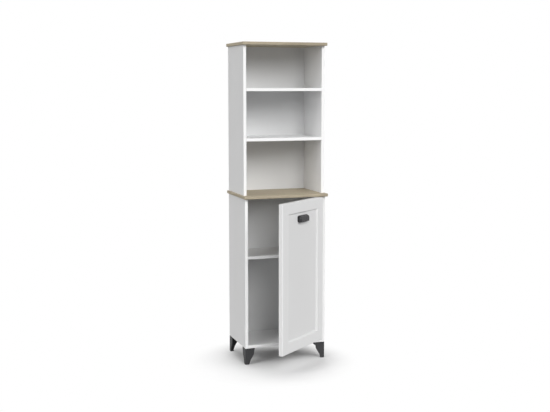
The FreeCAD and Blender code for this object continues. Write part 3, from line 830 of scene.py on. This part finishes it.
# ------------------------------------------------------------------ operators
class CABINET_OT_boards(bpy.types.Operator):
    """Make the white boards, banded in front and bare where no one looks"""

    bl_idname = "cabinet.boards"
    bl_label = "White boards"

    def execute(self, context):
        raise_if_missing(SIDE_BOARDS + INNER_BOARDS)
        radius = context.scene.cabinet_fittings.board_round
        for nodes, ends in ((SIDE_BOARDS, UP), (INNER_BOARDS, RIGHT)):
            for node in nodes:
                shape = rounded(merged_copy(node), radius, is_long)
                # The front faces take the banding, which carries painted light; the back and the
                # ends are bare chipboard.
                paint(shape, (-BACK, BACK, ends, -ends))
                finished(node + "_board", shape,
                         ("melamine", "banding", "chipboard", "chipboard", "chipboard"), node)
        return {"FINISHED"}


class CABINET_OT_backs(bpy.types.Operator):
    """Make the thin hardboard backs"""

    bl_idname = "cabinet.backs"
    bl_label = "Backs"

    def execute(self, context):
        raise_if_missing(BACK_BOARDS)
        for node in BACK_BOARDS:
            shape = rounded(merged_copy(node), BACK_ROUND, is_long)
            paint(shape, (BACK,))
            finished(node + "_hardboard", shape, ("hardboard", "fibre"), node)
        return {"FINISHED"}


class CABINET_OT_oak_boards(bpy.types.Operator):
    """Make the two oak boards, banded with the grain along every edge"""

    bl_idname = "cabinet.oak_boards"
    bl_label = "Oak boards"

    def execute(self, context):
        raise_if_missing(OAK_BOARDS)
        radius = context.scene.cabinet_fittings.oak_round
        for node in OAK_BOARDS:
            shape = rounded(merged_copy(node), radius, is_long)
            paint(shape, (-BACK, -RIGHT, RIGHT), within=0.6)      # the bevels too
            # The front faces take the oak with painted shade; the ends take the oak banding, its
            # grain running front to back.
            finished(node + "_oak", shape, ("oak", "oak_front", "oak_end", "oak_end"), node)
        return {"FINISHED"}


class CABINET_OT_door(bpy.types.Operator):
    """Make the door's panel and the four mitred strips of its frame"""

    bl_idname = "cabinet.door"
    bl_label = "Door"

    def execute(self, context):
        raise_if_missing(DOOR_STRIPS + ("door_panel",))
        radius = context.scene.cabinet_fittings.door_round
        to_closed = DOOR_TURN.inverted().to_3x3()

        def off_the_mitres(edge):
            for face in edge.link_faces:
                way = to_closed @ face.normal
                if abs(abs(way.x) - abs(way.z)) < MITRE_WITHIN and abs(way.y) < MITRE_WITHIN:
                    return False
            return True

        for node in DOOR_STRIPS:
            shape = merged_copy(node)
            shape.normal_update()
            finished(node + "_strip", rounded(shape, radius, off_the_mitres), ("lacquer",), node)
        shape = rounded(merged_copy("door_panel"), radius, is_long)
        # The panel takes the lacquer with painted shade.
        finished("door_panel_board", shape, ("panel",), "door_panel")
        return {"FINISHED"}


class CABINET_OT_legs(bpy.types.Operator):
    """Make the moulded corner legs with soft edges"""

    bl_idname = "cabinet.legs"
    bl_label = "Corner legs"

    def execute(self, context):
        raise_if_missing(LEGS)
        radius = context.scene.cabinet_fittings.leg_round
        for node in LEGS:
            finished(node + "_moulded", rounded(merged_copy(node), radius), ("legs",), node)
        return {"FINISHED"}


class CABINET_OT_cup_pull(bpy.types.Operator):
    """Make the cup pull: a hollow hood on a rounded plate, with two screw bosses"""

    bl_idname = "cabinet.cup_pull"
    bl_label = "Cup pull"

    def execute(self, context):
        raise_if_missing(("cup_pull",))
        sizes = context.scene.cabinet_fittings
        low, high = closed_box("cup_pull")
        shape = bmesh.new()
        self.hood(shape, low, high, sizes)
        self.plate(shape, low, high, sizes)
        self.bosses(shape, high)
        bmesh.ops.recalc_face_normals(shape, faces=shape.faces)
        bmesh.ops.transform(shape, matrix=DOOR_TURN, verts=shape.verts)
        put_in_order(shape)
        finished("cup_pull_hood", shape, ("pull",), "cup_pull")
        return {"FINISHED"}

    def hood(self, shape, low, high, sizes):
        vertices = block(shape, Vector((low.x + HOOD_INSET, low.y, low.z)),
                         Vector((high.x - HOOD_INSET, high.y, high.z - HOOD_DROP)))
        front, bottom = low.y, low.z
        corners = edges_of(vertices, lambda way, middle: (
            (abs(way.z) > 0.9 and middle.y < front + MM)
            or (abs(way.z) < 0.1 and middle.z > bottom + MM and middle.y < high.y - MM)))
        bevelled(shape, corners, sizes.hood_round, segments=10)
        shape.normal_update()
        openings = [face for face in shape.faces
                    if face.normal.y > 0.99 or face.normal.z < -0.99]
        bmesh.ops.delete(shape, geom=openings, context="FACES")
        bmesh.ops.recalc_face_normals(shape, faces=shape.faces)
        outward = sum(face.normal.y * face.calc_area() for face in shape.faces) < 0
        wall = sizes.hood_wall if outward else -sizes.hood_wall     # it grows inwards
        bmesh.ops.solidify(shape, geom=shape.faces[:], thickness=wall)
        rim = [edge for edge in shape.edges
               if edge.is_manifold and edge.calc_face_angle() > RIM_BEND]
        bevelled(shape, rim, RIM_ROUND)

    def plate(self, shape, low, high, sizes):
        vertices = block(shape, Vector((low.x, high.y - sizes.pull_plate, low.z)), high)
        corners = edges_of(vertices, lambda way, middle: abs(way.y) > 0.9)
        result = bevelled(shape, corners, sizes.pull_corner, segments=8, clamped=False)
        around = {vertex for vertex in vertices if vertex.is_valid} | set(result["verts"])
        front = high.y - sizes.pull_plate
        rim = [edge for edge in shape.edges
               if not around.isdisjoint(edge.verts)
               and edge.is_manifold and edge.calc_face_angle() > RIM_BEND
               and all(abs(end.co.y - front) < 0.01 * MM for end in edge.verts)]
        bevelled(shape, rim, RIM_ROUND, clamped=False)

    def bosses(self, shape, high):
        """Two posts on the plate, one over each of the pull's screws."""
        turn_back = DOOR_TURN.inverted()
        for point, _ in mouths("pull_screws"):
            middle = turn_back @ point
            centre = Vector((middle.x, high.y - BOSS_HEIGHT / 2, middle.z))
            place = Matrix.Translation(centre) @ Matrix.Rotation(math.pi / 2, 4, "X")
            bmesh.ops.create_cone(shape, cap_ends=True, segments=24, radius1=BOSS_RADIUS,
                                  radius2=BOSS_RADIUS, depth=BOSS_HEIGHT, matrix=place)


class CABINET_OT_hinges(bpy.types.Operator):
    """Make the cups, arms and plates of the concealed hinges, with their setting screws"""

    bl_idname = "cabinet.hinges"
    bl_label = "Hinges"

    def execute(self, context):
        raise_if_missing(HINGE_METAL)
        sizes = context.scene.cabinet_fittings
        for node in HINGE_METAL:
            shape = rounded(merged_copy(node), sizes.hinge_round, angle=50.0)
            finished(node + "_plated", shape, ("nickel",), node)
        places = []
        for level in ("lower", "upper"):
            arm_low, arm_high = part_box("hinge_arm_" + level)
            plate_low, plate_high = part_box("hinge_plate_" + level)
            crown = plate_low[0] - ARM_OVER_RAIL
            height = (arm_low[2] + arm_high[2]) / 2
            middle = (plate_low[1] + plate_high[1]) / 2
            for along in SETTING_PLACES:
                place = Vector((crown - SETTING_PROUD, middle + along, height))
                places.append((place, -RIGHT))
        screws = turned("hinge_setting_screws", places,
                        SETTING_SCREW + (sizes.screw_slot,) + SETTING_SLOT, "zinc")
        settle(screws, ("zinc",))
        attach(screws, "carcase")
        return {"FINISHED"}


class CABINET_OT_fasteners(bpy.types.Operator):
    """Make the screws, cams, bolts, shelf pins and cam covers"""

    bl_idname = "cabinet.fasteners"
    bl_label = "Fasteners"

    def execute(self, context):
        sizes = context.scene.cabinet_fittings
        screw_slots = (sizes.screw_slot,) + SCREW_SLOT
        cam_slots = (sizes.cam_slot,) + CAM_SLOT
        kinds = {node: (SCREW_HEAD + (length,) + screw_slots, "zinc", True)
                 for node, length in SCREW_LENGTHS.items()}
        kinds["cam_locks"] = (CAM_LOCK + cam_slots, "zinc", True)
        kinds["cam_bolts"] = (CAM_BOLT + NO_SLOT, "zinc", False)
        kinds["shelf_pins"] = (SHELF_PIN + NO_SLOT, "nickel", False)
        kinds["cam_covers"] = (CAM_COVER + NO_SLOT, "cap", False)
        raise_if_missing(kinds)
        for node, (values, key, slotted) in kinds.items():
            piece = turned(node + "_turned", mouths(node), values, key, slotted=slotted)
            stand_in(piece, (key,), node)
        return {"FINISHED"}


# --------------------------------------------------------------------- studio
# Soft lamps: degrees to the left of straight ahead, above the floor, and across
LAMPS = {
    "low_left": (60, 12, 26),
    "high_left": (70, 40, 30),
    "front": (-3, 28, 36),
    "rear": (172, 50, 45),
    "right": (-40, 30, 30),
}
LAMP_DISTANCE = 5.0
SENSOR_WIDTH = 36.0

FLOOR_MIDDLE = (-0.07, 0.0, 0.0)        # where the floor's fade is centred
# Painted contact shade: ambient occlusion darkens the floor's colour within this reach of the
# cabinet.
CONTACT_REACH = 0.32                    # the floor darkens within this of the cabinet
CONTACT_SHADE = 0.6                     # to this share of its own shade
FLOOR_BOUNCE = (0.38, 0.38, 0.38, 1.0)  # the floor as a source of light on the cabinet


class CABINET_OT_studio(bpy.types.Operator):
    """Set up the floor, the lamps and the camera"""

    bl_idname = "cabinet.studio"
    bl_label = "Studio"

    def execute(self, context):
        studio = context.scene.cabinet_studio
        self.lay_floor(studio)
        self.surround(context.scene)
        for name, (around, above, spread) in LAMPS.items():
            strength = getattr(studio, name + "_strength")
            self.hang_lamp("studio_" + name, around, above, spread, strength)
        self.place_camera(context.scene, studio)
        context.scene.view_settings.view_transform = "Standard"
        return {"FINISHED"}

    def lay_floor(self, studio):
        half = studio.floor_width / 2
        mesh = bpy.data.meshes.new("studio_floor")
        corners = [(-half, -half, 0), (half, -half, 0), (half, half, 0), (-half, half, 0)]
        mesh.from_pydata(corners, [], [(0, 1, 2, 3)])
        mesh.materials.append(self.floor_finish(studio))
        add_object("studio_floor", mesh)

    def floor_finish(self, studio):
        """Pale, keeps the shadow, has painted contact shade near the cabinet, fades to white away
        from the cabinet, and is clear from below.
        """
        material = bpy.data.materials.new("Studio floor")
        material.use_nodes = True
        nodes = Nodes(material.node_tree)
        # painted contact shade: the floor's colour darkens where ambient occlusion finds the
        # cabinet near
        around = nodes.add("ShaderNodeAmbientOcclusion", samples=32)
        around.inputs["Distance"].default_value = CONTACT_REACH
        painted_contact_shade = nodes.between(around.outputs["AO"], 0.0, 1.0,
                                 CONTACT_SHADE * studio.floor_shade, studio.floor_shade)
        near = nodes.add("ShaderNodeBsdfDiffuse")
        nodes.link(painted_contact_shade, near.inputs["Color"])
        white = nodes.add("ShaderNodeEmission")
        white.inputs["Strength"].default_value = 1.0
        away = nodes.add("ShaderNodeVectorMath", operation="DISTANCE")
        away.inputs[1].default_value = FLOOR_MIDDLE
        place = nodes.add("ShaderNodeTexCoord")
        nodes.link(place.outputs["Object"], away.inputs[0])
        fade = nodes.between(away.outputs["Value"], studio.floor_fade_start,
                             studio.floor_fade_end, interpolation_type="SMOOTHSTEP")
        seen = nodes.blend(fade, near.outputs["BSDF"], white.outputs["Emission"])
        bounce = nodes.add("ShaderNodeBsdfDiffuse")
        bounce.inputs["Color"].default_value = FLOOR_BOUNCE
        above = nodes.blend(nodes.looked_at(), bounce.outputs["BSDF"], seen)
        side = nodes.add("ShaderNodeNewGeometry")
        clear = nodes.add("ShaderNodeBsdfTransparent")
        whole = nodes.blend(side.outputs["Backfacing"], above, clear.outputs["BSDF"])
        output = nodes.add("ShaderNodeOutputMaterial")
        nodes.link(whole, output.inputs["Surface"])
        return material

    def surround(self, scene):
        """White to look at, and dark as a lamp."""
        world = bpy.data.worlds.new("Studio surround")
        world.use_nodes = True
        nodes = Nodes(world.node_tree)
        backgrounds = []
        for strength in (0.0, 1.0):
            background = nodes.add("ShaderNodeBackground")
            background.inputs["Color"].default_value = (1, 1, 1, 1)
            background.inputs["Strength"].default_value = strength
            backgrounds.append(background.outputs["Background"])
        output = nodes.add("ShaderNodeOutputWorld")
        nodes.link(nodes.blend(nodes.looked_at(), *backgrounds), output.inputs["Surface"])
        scene.world = world

    def hang_lamp(self, name, around, above, spread, strength):
        """A distant soft lamp, so many degrees to the left of straight ahead and above."""
        lamp = bpy.data.lights.new(name, "SUN")
        lamp.energy = strength
        lamp.angle = math.radians(spread)
        obj = bpy.data.objects.new(name, lamp)
        bpy.context.scene.collection.objects.link(obj)
        turn, rise = math.radians(around), math.radians(above)
        toward = Vector((-math.sin(turn) * math.cos(rise), -math.cos(turn) * math.cos(rise),
                         math.sin(rise)))
        obj.location = toward * LAMP_DISTANCE
        obj.rotation_euler = (-toward).to_track_quat("-Z", "Y").to_euler()

    def place_camera(self, scene, studio):
        lens = bpy.data.cameras.new("studio_camera")
        lens.sensor_width = SENSOR_WIDTH
        lens.lens = studio.camera_lens
        camera = bpy.data.objects.new("studio_camera", lens)
        scene.collection.objects.link(camera)
        camera.location = studio.camera_place
        camera.rotation_euler = (math.pi / 2 - studio.camera_tilt, 0, -studio.camera_heading)
        scene.camera = camera


OPERATORS = (CABINET_OT_boards, CABINET_OT_backs, CABINET_OT_oak_boards, CABINET_OT_door,
             CABINET_OT_legs, CABINET_OT_cup_pull, CABINET_OT_hinges, CABINET_OT_fasteners,
             CABINET_OT_studio)


class CABINET_PT_sidebar(bpy.types.Panel):
    """Lists the cabinet's pieces and settings"""

    bl_idname = "CABINET_PT_sidebar"
    bl_label = "Tall bathroom cabinet"
    bl_space_type = "VIEW_3D"
    bl_region_type = "UI"
    bl_category = "Cabinet"

    def draw(self, context):
        layout = self.layout
        for operator in OPERATORS:
            layout.operator(operator.bl_idname)
        for settings in (context.scene.cabinet_finishes, context.scene.cabinet_fittings,
                         context.scene.cabinet_studio):
            box = layout.box()
            for key in settings.bl_rna.properties.keys():
                if key not in ("rna_type", "name"):
                    box.prop(settings, key)


SETTINGS = (("cabinet_finishes", CabinetFinishes), ("cabinet_fittings", CabinetFittings),
            ("cabinet_studio", CabinetStudio))


def register():
    for key, group in SETTINGS:
        bpy.utils.register_class(group)
        setattr(bpy.types.Scene, key, bpy.props.PointerProperty(type=group))
    for operator in OPERATORS:
        bpy.utils.register_class(operator)
    bpy.utils.register_class(CABINET_PT_sidebar)


def unregister():
    bpy.utils.unregister_class(CABINET_PT_sidebar)
    for operator in reversed(OPERATORS):
        bpy.utils.unregister_class(operator)
    for key, group in reversed(SETTINGS):
        delattr(bpy.types.Scene, key)
        bpy.utils.unregister_class(group)


def main():
    register()
    for operator in OPERATORS:
        group, action = operator.bl_idname.split(".")
        getattr(getattr(bpy.ops, group), action)()


if __name__ == "__main__":
    main()
